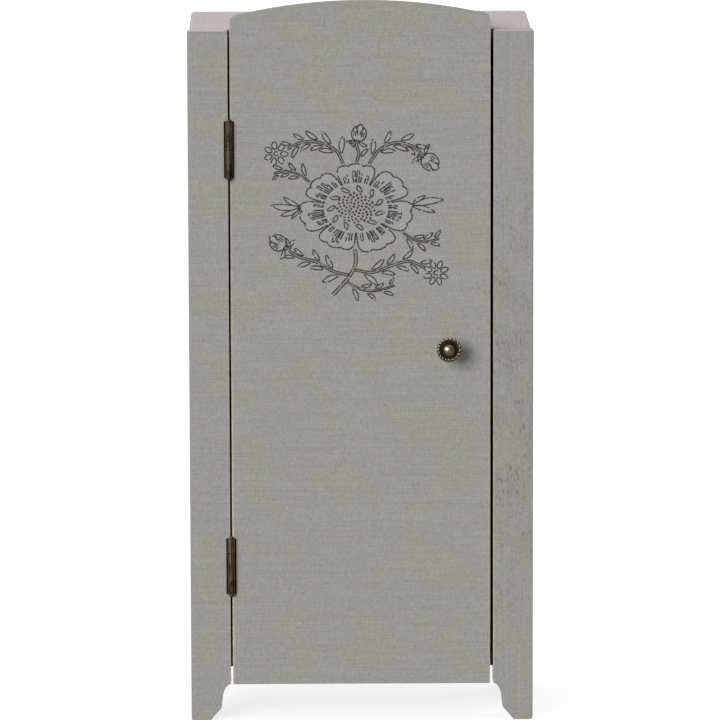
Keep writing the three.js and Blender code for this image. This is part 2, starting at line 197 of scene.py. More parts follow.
def linen_sheet(graph, turned_weave=False):
    """The weave over the board's own face, its long threads level, or upright where turned. Returns
    (colour, height, position across the board, position along it)."""
    x, y, z = graph.split(graph.place())
    face_x, _, face_z = graph.facing()
    side = graph.math("GREATER_THAN", face_x, SQUARE_ON)
    top = graph.math("GREATER_THAN", face_z, SQUARE_ON)
    across = graph.plus(graph.times(x, graph.minus(1.0, side)), graph.times(y, side))
    along = graph.plus(graph.times(z, graph.minus(1.0, top)), graph.times(y, top))
    long_way, short_way = (along, across) if turned_weave else (across, along)

    def threads(length, thickness, seed):
        u = graph.math("DIVIDE", long_way, length)
        v = graph.math("DIVIDE", short_way, thickness)
        return graph.noise(graph.vector(u, v, seed), 1.0, 2.0, 0.55)

    weft = threads(4.5, 0.32, 3.1)
    fine_weft = threads(0.9, 0.22, 17.7)
    warp = threads(0.18, 1.4, 8.3)
    streak = threads(13.0, 0.5, 29.4)
    upright = threads(0.3, 3.0, 35.2)
    cloud = threads(26.0, 12.0, 41.9)

    tint = graph.plus(graph.times(streak, 0.52), graph.times(weft, 0.48))
    for seen, share in ((cloud, 0.12), (upright, 0.34), (warp, 0.2), (fine_weft, 0.2)):
        tint = graph.plus(tint, graph.times(graph.minus(seen, 0.5), share))
    colour = graph.mix(graph.span(tint, 0.235, 0.725), OLIVE_GROUND, GREY_THREAD)

    raised = graph.span(threads(0.34, 2.4, 53.0), 0.6, 0.7)
    slub = graph.minus(raised, graph.span(threads(0.34, 1.8, 67.0), 0.62, 0.7))
    # thread brightness, partly the threads' own tone and partly painted relief shading: raised threads
    # lighter, the rest darker
    light = graph.plus(graph.span(warp, 0.3, 0.72, -0.5, 0.5), graph.span(fine_weft, 0.3, 0.7, -0.4, 0.4))
    light = graph.plus(light, graph.times(slub, 0.4))
    light = graph.plus(light, graph.span(threads(26.0, 0.4, 75.8), 0.3, 0.7, -0.28, 0.28))
    gain = graph.plus(1.0, graph.times(light, 0.165))
    colour = graph.mix(1.0, colour, graph.vector(gain, gain, gain), "MULTIPLY")

    height = graph.times(warp, 0.6)
    for seen, share in ((weft, 0.4), (fine_weft, 0.5), (slub, 0.35)):
        height = graph.plus(height, graph.times(seen, share))
    return colour, height, across, along


def in_hinge_notch(graph, x, y, z):
    """1 inside the notches that the hinge barrels sit in."""
    half_width, half_length = 1.45, 7.9
    inside = graph.math("GREATER_THAN", y, FRONT / MM + 0.1)
    outer_end = hinge_spread + half_length
    for value, middle, half in ((x, hinge_middle.x, half_width), (z, hinge_middle.z, outer_end)):
        offset_from = graph.math("ABSOLUTE", graph.minus(value, middle / MM))
        inside = graph.times(inside, graph.math("LESS_THAN", offset_from, half))
    from_middle = graph.math("ABSOLUTE", graph.minus(z, hinge_middle.z / MM))
    return graph.times(inside, graph.math("GREATER_THAN", from_middle, hinge_spread - half_length))


def soiled(graph, colour, across, along, z, soil):
    """Haze and clustered dark flecks, strongest at the middle heights."""
    lean = graph.plus(graph.times(across, 2.6), graph.times(along, -0.25))
    flecks = graph.grain((lean, along, 9.0), (1.0, 0.6), 3.0, 0.6)
    clusters = graph.grain((across, along, 21.0), (0.16, 0.1))
    reach = graph.span(graph.math("ABSOLUTE", graph.minus(z, 90.0)), 20.0, 95.0, 1.0, 0.15)
    haze = graph.times(graph.span(clusters, 0.35, 0.65, 0.35, 0.75), graph.times(reach, soil))
    marks = graph.times(graph.span(flecks, 0.53, 0.68), graph.span(clusters, 0.38, 0.58, 0.2, 0.65))
    return graph.mix(graph.times(marks, reach), graph.mix(haze, colour, SOIL), FLECK)


def worn_edges(graph, colour, x, z, worn, cream_at):
    """Upright edges rubbed to cream, more so lower down."""
    for edge, strength in cream_at:
        near = graph.span(graph.math("ABSOLUTE", graph.minus(x, edge)), 0.1, 0.42, 1.0, 0.0)
        lower = graph.span(z, 40.0, 170.0, 1.0, 0.25)
        patchy = graph.times(lower, graph.span(worn, 0.35, 0.65, 0.35 * strength, strength))
        colour = graph.mix(graph.times(near, patchy), colour, CREAM)
    return colour


def bare_sides(graph, colour, x, z, face_x, worn, edges_within):
    """Thin brown paint on the side faces that lie in the gaps round the door."""
    inside = graph.math("LESS_THAN", graph.math("ABSOLUTE", x), edges_within)
    below_top = graph.math("LESS_THAN", z, CASE_TOP)
    bare = graph.times(graph.span(face_x, 0.75, 0.95), inside, below_top)
    return graph.mix(graph.times(bare, graph.span(worn, 0.3, 0.6, 0.65, 0.9)), colour, BROWN_EDGE)


def primer_and_painted_top_light(graph, colour, x, y, z, face_z, worn):
    """Paler colour on the faces that look up near the top, partly primer and partly painted light from
    above; dust to the right, and darker on the top just behind the door.
    """
    high_up = graph.math("GREATER_THAN", z, 150.0)
    # painted top light, partly: upward faces near the top take the paler primer colour
    upward = graph.times(graph.span(face_z, 0.6, 0.9), graph.span(worn, 0.25, 0.6, 0.65, 1.0), high_up)
    colour = graph.mix(upward, colour, PRIMER_AND_TOP_LIGHT)
    dust = graph.grain((x, y, 4.0), (0.9, 0.3), 4.0, 0.6)
    dust = graph.times(graph.span(dust, 0.48, 0.74, 0.0, 0.42), graph.span(x, 0.0, 36.0, 0.2, 1.0))
    patchy = graph.span(worn, 0.3, 0.62, 0.35, 1.0)
    # darker on the top just behind the door's right part, fading towards the back
    behind_door = graph.span(y, FRONT / MM + 4.0, FRONT / MM + 13.0, 0.34, 0.0)
    behind_door = graph.times(behind_door, graph.span(x, 20.0, 34.0), patchy)
    # the dust and the darker band behind the door, on upward faces only
    dust_and_darkening = graph.times(graph.math("MAXIMUM", dust, behind_door), upward)
    return graph.mix(dust_and_darkening, colour, SOIL)


def linen(name, soil=0.0, cream_at=(), edges_within=None, arch=None):
    """Grey paint over a linen weave. cream_at lists (x in mm, strength) of upright edges worn to cream;
    edges_within is the x in mm inside which the boards' side faces show thin brown paint; soil flecks and
    darkens the middle heights of a board with an upright weave; arch is (x, z, radius in mm) of a curved
    edge with an olive tint."""
    graph = Graph(name)
    colour, height, across, along = linen_sheet(graph, turned_weave=soil > 0)
    x, y, z = graph.split(graph.place())
    face_x, face_y, face_z = graph.facing()

    specks = graph.grain((across, along, 5.5), (1.7, 1.0), 1.0, 0.4)
    colour = graph.mix(graph.times(graph.span(specks, 0.74, 0.8), 0.45), colour, SOIL)
    if soil:
        colour = soiled(graph, colour, across, along, z, soil)
    worn = graph.grain((across, along, 2.0), (0.8, 0.35), 4.0, 0.65)
    colour = worn_edges(graph, colour, x, z, worn, cream_at)
    if arch:
        centre_x, centre_z, radius = arch
        from_centre = graph.distance(x, z, centre_x, centre_z)[2]
        near = graph.span(from_centre, radius - 1.6, radius - 0.2, 0.0, 0.55)
        colour = graph.mix(graph.times(near, graph.span(worn, 0.3, 0.6)), colour, OLIVE_GROUND)
    if edges_within:
        colour = bare_sides(graph, colour, x, z, face_x, worn, edges_within)
        # painted shade: darkens the notches that the hinge barrels sit in
        colour = graph.mix(in_hinge_notch(graph, x, y, z), colour, NOTCH_PAINTED_SHADE)
    if not arch:
        # primer and painted top light on the upward faces near the top
        colour = primer_and_painted_top_light(graph, colour, x, y, z, face_z, worn)
    flat = graph.math("MAXIMUM", face_x, graph.math("MAXIMUM", face_y, face_z))
    corner = graph.times(graph.span(flat, 0.78, 0.96, 1.0, 0.0), graph.span(worn, 0.4, 0.7, 0.0, 0.35))
    colour = graph.mix(corner, colour, CREAM)

    roughness = graph.span(height, 0.5, 1.0, 0.9, 0.74)
    return graph.finish(colour, roughness, normal=graph.bump(height, 0.00008, 0.8))


# ---------------------------------------------------------------- other materials


def ink(name, strength):
    """Line ink that the weave's high threads carry and some of its hollows miss."""
    graph = Graph(name)
    colour, height, across, along = linen_sheet(graph)
    gaps = graph.grain((across, along, 12.0), (2.6, 2.6), 2.0, 0.6)
    cover = graph.span(graph.plus(gaps, graph.times(height, 0.1)), 0.34, 0.54, 0.62 * strength, strength)
    dark = graph.mix(gaps, linear(27, 24, 20), linear(52, 47, 41))
    return graph.finish(graph.mix(cover, colour, dark), 0.8, normal=graph.bump(height, 0.00005, 0.6))


def pale_print():
    """The thin grey fill inside petals and leaves: the weave without its olive ground."""
    graph = Graph("print_pale")
    colour, height, _, _ = linen_sheet(graph)
    pale = graph.mix(0.5, colour, linear(146, 146, 149))
    return graph.finish(pale, 0.84, normal=graph.bump(height, 0.00005, 0.7))


def aged_brass(name, shine):
    """Antique brass, nearly black in the hollows and rubbed in streaks along the barrel."""
    graph = Graph(name)
    place = graph.place()
    mottle = graph.noise(place, 0.8, 4.0, 0.6)
    streaks = graph.grain(graph.split(place), (4.4, 4.4, 0.16), 2.0, 0.6)
    rub = graph.plus(graph.plus(graph.times(mottle, 0.22), graph.times(streaks, 0.78)), shine)
    colour = graph.mix(graph.span(rub, 0.4, 0.62), linear(28, 22, 17), linear(112, 96, 72))
    roughness = graph.span(rub, 0.35, 0.7, 0.55, 0.3)
    fine = graph.noise(place, 6.0, 3.0, 0.6)
    metallic = graph.span(rub, 0.3, 0.5, 0.7, 1.0)
    return graph.finish(colour, roughness, metallic, graph.bump(fine, 0.00004, 0.5))


def knob_brass(centre, reach, outer):
    """Antique brass for the knob, with dark patina in the groove, the rope's crevices and the neck, and
    painted shade towards the dome's edge.
    """
    graph = Graph("knob_brass")
    place = graph.place()
    x, y, z = graph.split(place)
    mottle = graph.noise(place, 1.1, 4.0, 0.6)
    dx, dz, radius = graph.distance(x, z, centre.x / MM, centre.z / MM)
    height = graph.minus(centre.y / MM, y)
    groove = graph.span(graph.math("ABSOLUTE", graph.minus(radius, GROOVE)), 0.2, 0.55, 1.0, 0.0)
    neck = graph.span(height, reach - 3.4, reach - 2.2, 0.7, 0.0)
    rim_r, rim_h = rope_centre(reach, outer)
    turn = graph.math("ARCTAN2", dz, dx)
    round_rim = graph.math("ARCTAN2", graph.minus(height, rim_h), graph.minus(radius, rim_r))
    phase = graph.plus(graph.times(turn, STRANDS / 2), graph.times(round_rim, TWIST / 2))
    crevice = graph.span(graph.math("ABSOLUTE", graph.math("SINE", phase)), 0.3, 0.85, 1.0, 0.0)
    crevice = graph.times(crevice, graph.math("GREATER_THAN", radius, rim_r - 0.5))
    on_dome = graph.math("LESS_THAN", radius, DOME[0])
    # painted shade: darker towards the dome's edge, as the round dome turns away from the light
    dome_edge_painted_shade = graph.times(graph.span(radius, DOME[0] - 0.5, DOME[0] - 0.04, 0.0, 0.4), on_dome)
    # patina in the groove, crevices and neck, together with the painted shade at the dome's edge
    patina_and_painted_shade = groove
    for seen in (dome_edge_painted_shade, neck, crevice):
        patina_and_painted_shade = graph.math("MAXIMUM", patina_and_painted_shade, seen)
    rub = graph.minus(graph.span(mottle, 0.3, 0.7, 0.6, 1.0), graph.times(patina_and_painted_shade, 0.8))
    colour = graph.mix(graph.span(rub, 0.0, 0.95), linear(30, 25, 20), linear(136, 123, 98))
    roughness, metallic = graph.span(rub, 0.1, 0.9, 0.6, 0.33), graph.span(rub, 0.0, 0.5, 0.6, 1.0)
    fine = graph.noise(place, 6.0, 3.0, 0.6)
    return graph.finish(colour, roughness, metallic, graph.bump(fine, 0.00003, 0.4))


def steel(name, tone):
    """Bright steel with short brushed marks."""
    graph = Graph(name)
    place = graph.place()
    mottle = graph.noise(place, 2.0, 4.0, 0.6)
    brushed = graph.grain(graph.split(place), (1.2, 8.0, 14.0))
    colour = graph.mix(mottle, tuple(c * 0.7 for c in tone), tone)
    roughness = graph.span(brushed, 0.3, 0.7, 0.28, 0.46)
    return graph.finish(colour, roughness, 1.0, graph.bump(brushed, 0.00002, 0.4))


def bare_wood():
    """Turned dowel: grain runs along X."""
    graph = Graph("bare_wood")
    place = graph.split(graph.place())
    grain = graph.grain(place, (0.07, 2.4, 2.4), 4.0, 0.6, 0.4)
    pores = graph.grain(place, (0.5, 9.0, 9.0))
    colour = graph.mix(graph.span(grain, 0.3, 0.7), linear(171, 130, 84), linear(214, 178, 130))
    colour = graph.mix(graph.span(pores, 0.6, 0.75, 0.0, 0.5), colour, linear(116, 80, 48))
    return graph.finish(colour, 0.62, normal=graph.bump(pores, 0.00004, 0.5))


# ---------------------------------------------------------------- CAD nodes, softened


def smoothing_nodes(angle_degrees):
    """A geometry-nodes group that shades smooth, except over edges sharper than the angle."""
    group = bpy.data.node_groups.new(f"smooth_{angle_degrees}", "GeometryNodeTree")
    group.interface.new_socket("Geometry", in_out="INPUT", socket_type="NodeSocketGeometry")
    group.interface.new_socket("Geometry", in_out="OUTPUT", socket_type="NodeSocketGeometry")
    start, end = group.nodes.new("NodeGroupInput"), group.nodes.new("NodeGroupOutput")
    faces = group.nodes.new("GeometryNodeSetShadeSmooth")
    edges = group.nodes.new("GeometryNodeSetShadeSmooth")
    edges.domain = "EDGE"
    angle = group.nodes.new("GeometryNodeInputMeshEdgeAngle")
    soft = group.nodes.new("FunctionNodeCompare")
    soft.data_type, soft.operation = "FLOAT", "LESS_EQUAL"
    soft.inputs["B"].default_value = math.radians(angle_degrees)
    links = group.links
    links.new(start.outputs[0], faces.inputs["Geometry"])
    links.new(faces.outputs[0], edges.inputs["Geometry"])
    links.new(angle.outputs["Unsigned Angle"], soft.inputs["A"])
    links.new(soft.outputs[0], edges.inputs["Shade Smooth"])
    links.new(edges.outputs[0], end.inputs[0])
    return group


SMOOTH = smoothing_nodes(40)


def soften(node, material, radius, segments=3):
    """Gives a CAD node its material and rounds its edges, without changing its mesh."""
    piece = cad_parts[node]
    piece.data.materials.clear()
    piece.data.materials.append(material)
    weld = piece.modifiers.new("weld", "WELD")
    weld.merge_threshold = 1e-6
    flats = piece.modifiers.new("flats", "DECIMATE")
    flats.decimate_type, flats.angle_limit = "DISSOLVE", math.radians(0.5)
    rounding = piece.modifiers.new("rounding", "BEVEL")
    rounding.width, rounding.segments = radius, segments
    rounding.limit_method, rounding.angle_limit = "ANGLE", math.radians(32)
    shade = piece.modifiers.new("shade", "NODES")
    shade.node_group = SMOOTH
    weighted = piece.modifiers.new("weighted", "WEIGHTED_NORMAL")
    weighted.keep_sharp = True
    weighted.weight = 100


ARCH_RADIUS = 152.0
ARCH_OFFSET = 1.0  # the crown stands this far right of the door's middle
BOARD_EDGE = 0.3 * MM  # how far the front boards' edges are rounded
door_mid = (door_low.x + door_high.x) / 2 / MM
stile_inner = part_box("right_front_stile")[0].x / MM
door_paint = linen(
    "linen_door",
    cream_at=((door_low.x / MM + 0.14, 1.0), (door_high.x / MM - 0.12, 0.3)),
    edges_within=stile_inner,
    arch=(door_mid + ARCH_OFFSET, door_high.z / MM - ARCH_RADIUS, ARCH_RADIUS),
)
right_paint = linen("linen_right_stile", soil=0.2, cream_at=((stile_inner + 0.1, 0.6),),
                    edges_within=stile_inner + 0.2)
left_paint = linen("linen_left_stile", cream_at=((-stile_inner - 0.1, 0.3),),
                   edges_within=stile_inner + 0.2)
case_paint = linen("linen_case")

soften("door", door_paint, BOARD_EDGE)
soften("left_front_stile", left_paint, BOARD_EDGE)
soften("right_front_stile", right_paint, BOARD_EDGE)
for board in ("left_side_panel", "right_side_panel", "top_panel", "bottom_panel", "back_panel"):
    soften(board, case_paint, 0.05 * MM, 1)
soften("hanging_rod", bare_wood(), 0.15 * MM, 2)

hinge_brass = {
    "frame_leaf": aged_brass("hinge_brass_dark", -0.02),
    "door_leaf": aged_brass("hinge_brass", 0.03),
}
nail_brass = aged_brass("nail_brass", 0.08)
for end in ("upper", "lower"):
    for leaf_name, brass in hinge_brass.items():
        soften(f"{end}_hinge_{leaf_name}", brass, 0.07 * MM, 2)
    soften(f"{end}_hinge_pin", hinge_brass["frame_leaf"], 0.1 * MM, 2)
    for owner in ("frame", "door"):
        for place in ("low", "high"):
            soften(f"{end}_hinge_{owner}_nail_{place}", nail_brass, 0.04 * MM, 2)
bright_steel = steel("bright_steel", linear(182, 184, 188))
soften("knob_screw", bright_steel, 0.08 * MM, 2)
soften("catch_pin", bright_steel, 0.06 * MM, 2)
soften("door_magnet", steel("magnet_plate", linear(120, 122, 128)), 0.15 * MM, 2)


# ---------------------------------------------------------------- new meshes


def mesh_piece(name, points, faces, material, body, smooth=True):
    data = bpy.data.meshes.new(name)
    data.from_pydata(points, [], faces)
    data.validate()
    data.materials.append(material)
    if smooth:
        data.shade_smooth()
    piece = bpy.data.objects.new(name, data)
    bpy.context.scene.collection.objects.link(piece)
    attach(piece, body)
    return piece


STRANDS = 18  # in the knob's rope rim
TWIST = 2.6  # how far the strands slant round it
ROPE = 0.47  # the rim's half thickness in mm
DOME = (1.7, 1.4)  # the middle dome's radius and height in mm
GROOVE = 2.05  # the radius of the groove between the dome and the rim


def rope_centre(reach, outer):
    """(radius, height) of the middle of the rim's rope."""
    return outer - ROPE, reach - 1.9


def knob_profile(reach, outer):
    """(radius, height, rope share, angle round the rim) from the door to the tip, in mm. The rope
    share is how far the twist shapes that point."""
    rim_r, rim_h = rope_centre(reach, outer)
    points = [(1.9, 0.0, 0, 0), (2.05, 0.12, 0, 0), (2.1, 0.35, 0, 0), (1.95, 0.55, 0, 0)]
    for step in range(13):  # the waisted neck
        t = step / 12
        waist = 1.2 + 0.65 * (1 - t) ** 3 + 1.5 * t ** 2.2
        points.append((waist, 0.6 + t * (rim_h - 1.25), 0, 0))
    for step in range(23):  # over the rim, from under its outer edge to its inner edge
        angle = math.radians(-75 + step * 255 / 22)
        share = math.sin(math.pi * (step + 0.5) / 23) ** 0.5
        points.append((rim_r + ROPE * math.cos(angle), rim_h + ROPE * math.sin(angle), share, angle))
    floor = rim_h - 0.1
    points += [(2.38, floor - 0.05, 0, 0), (2.28, floor + 0.02, 0, 0), (2.17, floor + 0.15, 0, 0),
               (2.05, floor + 0.17, 0, 0), (1.95, floor + 0.08, 0, 0), (1.82, floor - 0.12, 0, 0),
               (1.74, floor - 0.1, 0, 0)]
    for step in range(16):  # the dome, on a short wall
        angle = math.radians(step * 88 / 15)
        points.append((DOME[0] * math.cos(angle), reach - DOME[1] + DOME[1] * math.sin(angle), 0, 0))
    return points


def knob():
    low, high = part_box("door_knob")
    reach, outer = (high.y - low.y) / MM, (high.x - low.x) / 2 / MM
    centre = Vector(((low.x + high.x) / 2, high.y, (low.z + high.z) / 2))
    profile = knob_profile(reach, outer)
    around = STRANDS * 12
    crevice_depth = 0.26
    points, faces = [], []
    for radius, height, share, angle in profile:
        for step in range(around):
            turn = 2 * math.pi * step / around
            strand = abs(math.sin((STRANDS * turn + TWIST * angle) / 2))
            pull = share * crevice_depth * (1 - strand) ** 1.2
            r, h = radius - pull * math.cos(angle), height - pull * math.sin(angle)
            points.append(centre + Vector((r * math.cos(turn), -h, r * math.sin(turn))) * MM)
    rings = len(profile)
    for ring in range(rings - 1):
        for step in range(around):
            a, b = ring * around + step, ring * around + (step + 1) % around
            faces.append((a, a + around, b + around, b))
    tip = len(points)
    points.append(centre + Vector((0, -reach, 0)) * MM)
    foot = len(points)
    points.append(centre)
    for step in range(around):
        following = (step + 1) % around
        faces.append(((rings - 1) * around + step, tip, (rings - 1) * around + following))
        faces.append((step, following, foot))
    piece = mesh_piece("cast_knob", points, faces, knob_brass(centre, reach, outer), "door")
    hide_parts("door_knob")


def paint_bead(name, board, inner_side):
    """Paint gathered over the joint between a side panel's top edge and the top panel. inner_side is 1
    where the top panel lies to the left of the side panel, and -1 where it lies to the right."""
    low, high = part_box(board)
    joint_x = (low.x if inner_side > 0 else high.x) / MM
    rings, section = 90, 7
    half_width, crown, sunk = 0.55, 0.09, 0.03
    start, end = low.y / MM + 0.7, high.y / MM - 0.9
    bead_chance = random.Random(name)
    swell = [bead_chance.uniform(0.75, 1.2) for _ in range(rings + 2)]
    drift = [bead_chance.uniform(-0.09, 0.09) for _ in range(rings + 2)]
    points, faces = [], []
    for ring_number in range(rings):
        size = sum(swell[ring_number:ring_number + 3]) / 3 * (0.4 if ring_number in (0, rings - 1) else 1)
        middle = joint_x + sum(drift[ring_number:ring_number + 3]) / 3
        y = start + (end - start) * ring_number / (rings - 1)
        for i in range(section):
            turn = math.pi * i / (section - 1)
            x, z = middle + half_width * size * math.cos(turn), crown * size * math.sin(turn) - sunk
            points.append(Vector((x, y, high.z / MM + z)) * MM)
    for ring_number in range(rings - 1):
        for i in range(section):
            a, b = ring_number * section + i, ring_number * section + (i + 1) % section
            faces.append((a, b, b + section, a + section))
    faces += [tuple(reversed(range(section))), tuple((rings - 1) * section + i for i in range(section))]
    mesh_piece(name, points, faces, case_paint, "case")


knob()
paint_bead("left_seam_paint", "left_side_panel", -1)
paint_bead("right_seam_paint", "right_side_panel", 1)

# ---------------------------------------------------------------- the printed flower spray

# A generic spray drawn in millimetres on the door's face, x right and z up, from the middle of its
# large flower.
chance = random.Random(11)
SPRAY_X = -1.2  # the flower's middle from the door's middle
SPRAY_HEIGHT = 0.7012  # the flower's middle as a share of the door's height
LINE = 0.38
THIN = 0.33
STEP = 0.17  # between the points of a drawn line
DARK, MIDDLE, PALE = 0, 1, 2  # the print's three inks, and the order of its materials
ribbons = []  # (points, width, ink)
patches = []  # (outline, ink)


def smooth(points, steps=10):
    """A smooth line through the given points (Catmull-Rom)."""
    path = [points[0]] + list(points) + [points[-1]]
    line = []
    for a, b, c, d in zip(path, path[1:], path[2:], path[3:]):
        for step in range(steps):
            t = step / steps
            line.append(tuple(
                0.5 * (2 * b[i] + (c[i] - a[i]) * t + (2 * a[i] - 5 * b[i] + 4 * c[i] - d[i]) * t * t
                       + (3 * b[i] - a[i] - 3 * c[i] + d[i]) * t ** 3)
                for i in (0, 1)
            ))
    return line + [points[-1]]


def even(points, step=STEP):
    """The same line in steps of equal length."""
    line, travelled = [points[0]], 0.0
    for a, b in zip(points, points[1:]):
        length = math.dist(a, b)
        while length and travelled + length >= step:
            t = (step - travelled) / length
            a = (a[0] + (b[0] - a[0]) * t, a[1] + (b[1] - a[1]) * t)
            line.append(a)
            length, travelled = math.dist(a, b), 0.0
        travelled += length
    return line + [points[-1]] if travelled > 0.3 * step else line


def draw(points, width=LINE, tone=DARK):
    line = even(points)
    if len(line) > 1:
        ribbons.append((line, width, tone))


def dashed(points, width=LINE, dash=4.0):
    """The line with small uneven breaks, the way a worn plate prints."""
    line = even(points)
    start = 0
    while start < len(line) - 1:
        end = min(len(line), start + max(3, round(dash * chance.uniform(0.4, 1.5) / STEP)))
        if end - start > 1:
            ribbons.append((line[start:end], width, DARK))
        start = end + chance.choice((0, 1, 2))


def fill(outline, tone=PALE):
    patches.append((outline, tone))


def polar(centre, radius, degrees):
    angle = math.radians(degrees)
    return centre[0] + radius * math.cos(angle), centre[1] + radius * math.sin(angle)


def dot(middle, radius):
    fill([polar(middle, radius * chance.uniform(0.85, 1.15), 60 * i) for i in range(6)], DARK)


def ring(middle, radius):
    """A small circle, not quite closed."""
    draw([polar(middle, radius, 40 + 300 * i / 12) for i in range(13)], THIN)


def turned(points, at, degrees, size):
    """Points given along and to the left of a heading, put in place at a size."""
    return [polar(polar(at, ahead * size, degrees), left * size, degrees + 90) for ahead, left in points]


def leaf(base, tip, breadth, bend=0.0, width=LINE * 0.92):
    """A pointed leaf in two sides over a pale fill. bend bows it to its left."""
    dx, dz = tip[0] - base[0], tip[1] - base[1]
    length = math.hypot(dx, dz)
    across = (-dz / length, dx / length)
    sides = []
    for side in (-1, 1):
        line = []
        for step in range(13):
            t = step / 12
            out = side * breadth / 2 * math.sin(math.pi * t) ** 0.75 + bend * math.sin(math.pi * t)
            line.append((base[0] + dx * t + across[0] * out, base[1] + dz * t + across[1] * out))
        sides.append(line)
    fill(sides[0] + sides[1][-2:0:-1])
    for side in sides:
        dashed(side, width)


def offset(line, distance):
    """The line moved sideways, to its left for a positive distance."""
    moved = []
    for i, here in enumerate(line):
        before, after = line[max(i - 1, 0)], line[min(i + 1, len(line) - 1)]
        dx, dz = after[0] - before[0], after[1] - before[1]
        size = math.hypot(dx, dz) or 1.0
        moved.append((here[0] - dz / size * distance, here[1] + dx / size * distance))
    return moved


def stem(points, width):
    """A stem as two lines, shaded between. Returns its middle line."""
    line = even(smooth(points), 0.3)
    draw(line, width, MIDDLE)
    for side in (-1, 1):
        dashed(offset(line, side * width / 2), LINE * 0.85, 6.0)
    return line


def heading(line, share):
    """(point, direction in degrees) at a share of the line's length."""
    i = min(int(share * (len(line) - 1)), len(line) - 2)
    a, b = line[i], line[i + 1]
    return (a if share < 1 else b), math.degrees(math.atan2(b[1] - a[1], b[0] - a[0]))


def branch(points, leaves, length, first_side=1, width=0.6):
    """A stem with leaves on alternate sides, smaller towards its tip. Returns its end and heading."""
    line = stem(points, width)
    for i in range(leaves):
        share = 0.1 + 0.87 * (i + 0.5) / leaves
        side = first_side * (1 if i % 2 else -1)
        at, degrees = heading(line, share)
        base = polar(at, 0.75, degrees + 90 * side)
        reach = length * (1.05 - 0.35 * share) * chance.uniform(0.88, 1.1)
        leaf(base, polar(base, reach, degrees + side * chance.uniform(24, 40)), 0.29 * reach, -0.2 * side)
    return heading(line, 1.0)


# The large flower: rounded petals about a ring of short leaves and a seeded disc.
BLOOM = (15.4, 12.2)  # its half width and half height
BLOOM_PETALS = 7
PETAL_ROOT = 0.55  # where its petals start, as a share of the half width


def in_bloom(share, degrees):
    angle = math.radians(degrees)
    return BLOOM[0] * share * math.cos(angle), BLOOM[1] * share * math.sin(angle)


def pleats(middle, half):
    """The folds at a petal's root: narrow loops and short lines of uneven length."""
    count = 6
    for i in range(count):
        across = 2 * (i + 0.5) / count - 1
        degrees = middle + half * 0.8 * across + chance.uniform(-0.9, 0.9)
        reach = PETAL_ROOT + 0.27 * (1 - 0.5 * across ** 2) * chance.uniform(0.85, 1.12)
        left, right = (in_bloom(PETAL_ROOT + 0.02, degrees + gap) for gap in (1.9, -1.9))
        left_tip, right_tip = (in_bloom(reach, degrees + gap) for gap in (1.5, -1.5))
        if i % 3 == 1:
            dashed([left, left_tip], LINE, 2.2)
        else:
            loop = [left, left_tip, in_bloom(reach + 0.02, degrees), right_tip, right]
            dashed(smooth(loop, 5), 0.37, 3.0)


def large_bloom():
    half = 180 / BLOOM_PETALS - 0.8
    for number in range(BLOOM_PETALS):
        middle = 90 + 360 * number / BLOOM_PETALS
        grown = chance.uniform(0.96, 1.03)
        outline = []
        for step in range(61):
            across = step / 30 - 1
            lobe = abs(math.cos(1.5 * math.pi * across)) ** 0.6
            tip = grown - 0.05 * across ** 2 - 0.05 * (1 - lobe)
            share = PETAL_ROOT + 0.01 + (tip - PETAL_ROOT) * (1 - across ** 10) ** 0.5
            outline.append(in_bloom(share, middle + half * across))
        fill(outline)
        dashed(outline, LINE, 9.0)
        pleats(middle, half)
    for number in range(11):
        degrees = 360 * number / 11 + 8
        leaf(in_bloom(0.37, degrees), in_bloom(0.52, degrees + 14), 0.95, 0.15)
    golden_angle, seeds = 137.508, 78
    for seed in range(seeds):
        share = 0.35 * math.sqrt((seed + 0.5) / seeds)
        dot(in_bloom(share, golden_angle * seed), 0.34 + chance.uniform(-0.04, 0.05))


def daisy(middle, radius, petals, lean=0.0):
    for number in range(petals):
        degrees = lean + 360 * number / petals
        root, tip = polar(middle, 0.34 * radius, degrees), polar(middle, radius, degrees)
        leaf(root, tip, 2.9 * radius / petals, width=THIN)
    ring(middle, 0.17 * radius)


def bud(at, degrees, size):
    """A half-open bud: two petals closing over a third, with three sepals at its foot."""
    third = smooth([(0.95, 0.32), (1.3, 0.17), (1.42, 0.0), (1.3, -0.17), (0.95, -0.32)], 5)
    petal = smooth([
        (0.0, 0.0), (0.06, 0.36), (0.4, 0.6), (0.85, 0.58), (1.2, 0.34), (0.9, 0.2), (0.5, 0.1),
    ], 6)
    outline = turned(third, at, degrees, size)
    fill(outline)
    dashed(outline, LINE, 6.0)
    for side in (-1, 1):
        outline = turned([(ahead, side * left) for ahead, left in petal], at, degrees, size)
        fill(outline)
        dashed(outline, LINE, 8.0)
        for share in (0.26, 0.42):
            fold = [(0.34, share * side), (0.8, (share + 0.02) * side)]
            draw(turned(fold, at, degrees, size), THIN)
        base, end = turned([(-0.05, 0.15 * side), (-0.3, 0.95 * side)], at, degrees, size)
        leaf(base, end, 0.26 * size, 0.08 * size * side, THIN)


def fan(at, leaves):
    """Long leaves spreading from one point. leaves lists (direction in degrees, length)."""
    for degrees, length in leaves:
        leaf(polar(at, 0.6, degrees), polar(at, 0.6 + length, degrees), 0.21 * length, 0.04 * length)


